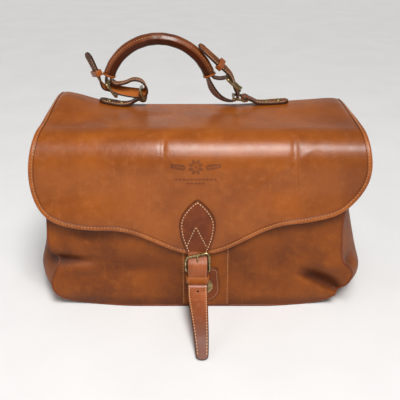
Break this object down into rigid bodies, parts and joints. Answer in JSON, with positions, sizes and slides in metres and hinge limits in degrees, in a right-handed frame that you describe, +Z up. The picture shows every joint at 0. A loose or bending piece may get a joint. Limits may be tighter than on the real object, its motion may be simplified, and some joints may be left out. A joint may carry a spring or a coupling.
{
  "type": "satchel bag",
  "caption": "Gusseted leather satchel with a full-width flap, false-buckle strap over a press snap, and a rolled top handle buckled to ridge rings.",
  "frame": {"origin": "middle of the base, on the surface that the bag stands on", "axes": "+Z up, the flap and its closure face -Y, +X to the right of the front view"},
  "size_m": [0.418, 0.2626, 0.3225],
  "materials": {
    "tan_leather": "waxed satin",
    "brown_leather": "waxed satin",
    "strap_leather": "waxed satin",
    "handle_leather": "waxed satin",
    "antique_brass": "aged satin",
    "lining_cloth": "matt twill",
    "leatherboard": "matt",
    "cotton_cord": "matt"
  },
  "bodies": {
    "bag": {"front_panel": "tan_leather", "back_panel": "tan_leather", "left_gusset": "tan_leather", "right_gusset": "tan_leather", "base_panel": "tan_leather", "base_board": "leatherboard", "front_piping": "brown_leather", "back_piping": "brown_leather", "front_rim": "brown_leather", "top_yoke": "tan_leather", "ridge_bar": "leatherboard", "centre_band": "tan_leather", "lock_patch": "brown_leather", "snap_plate": "antique_brass", "snap_boss": "antique_brass", "front_lining": "lining_cloth", "back_lining": "lining_cloth", "divider": "lining_cloth", "inner_pocket": "lining_cloth", "left_chape": "handle_leather", "right_chape": "handle_leather", "chape_rivets": "antique_brass"},
    "flap": {"flap": "tan_leather", "flap_lining": "lining_cloth", "flap_binding": "brown_leather", "leaf_tab": "brown_leather", "closing_strap": "strap_leather", "closure_buckle": "antique_brass", "buckle_chape": "strap_leather", "strap_keeper": "strap_leather", "snap_stud": "antique_brass"},
    "tail": {"strap_tail": "strap_leather"},
    "closure_tongue": {"closure_prong": "antique_brass"},
    "handle": {"handle_core": "cotton_cord", "handle_cover": "handle_leather", "left_handle_strap": "handle_leather", "right_handle_strap": "handle_leather", "left_handle_buckle": "antique_brass", "right_handle_buckle": "antique_brass", "left_buckle_tab": "handle_leather", "right_buckle_tab": "handle_leather", "left_handle_keeper": "handle_leather", "right_handle_keeper": "handle_leather", "left_chape_loop": "handle_leather", "right_chape_loop": "handle_leather"},
    "left_tongue": {"left_handle_prong": "antique_brass"},
    "right_tongue": {"right_handle_prong": "antique_brass"},
    "ring_left": {"left_ring": "antique_brass"},
    "ring_right": {"right_ring": "antique_brass"}
  },
  "joints": [
    {"name": "flap_hinge", "type": "hinge", "parent": "bag", "child": "flap", "pos_m": [0, 0.03, 0.2257], "axis": [-1, 0, 0], "range_deg": [0, 100]},
    {"name": "strap_tail_lift", "type": "hinge", "parent": "flap", "child": "tail", "pos_m": [-0.003, -0.092, 0.0439], "axis": [-1, 0, 0], "range_deg": [0, 40]},
    {"name": "closure_prong_pivot", "type": "hinge", "parent": "flap", "child": "closure_tongue", "pos_m": [-0.003, -0.087, 0.059], "axis": [1, 0, 0], "range_deg": [0, 50]},
    {"name": "handle_tilt", "type": "hinge", "parent": "bag", "child": "handle", "pos_m": [-0.008, 0.06, 0.237], "axis": [-1, 0, 0], "range_deg": [0, 20]},
    {"name": "left_ring_swivel", "type": "hinge", "parent": "handle", "child": "ring_left", "pos_m": [-0.073, 0.06, 0.237], "axis": [0, 1, 0], "range_deg": [-8, 8]},
    {"name": "right_ring_swivel", "type": "hinge", "parent": "handle", "child": "ring_right", "pos_m": [0.057, 0.06, 0.237], "axis": [0, 1, 0], "range_deg": [-8, 8]},
    {"name": "left_prong_pivot", "type": "hinge", "parent": "handle", "child": "left_tongue", "pos_m": [-0.122, 0.06, 0.2585], "axis": [0, 1, 0], "range_deg": [0, 50]},
    {"name": "right_prong_pivot", "type": "hinge", "parent": "handle", "child": "right_tongue", "pos_m": [0.035, 0.06, 0.265], "axis": [0, -1, 0], "range_deg": [0, 60]}
  ]
}
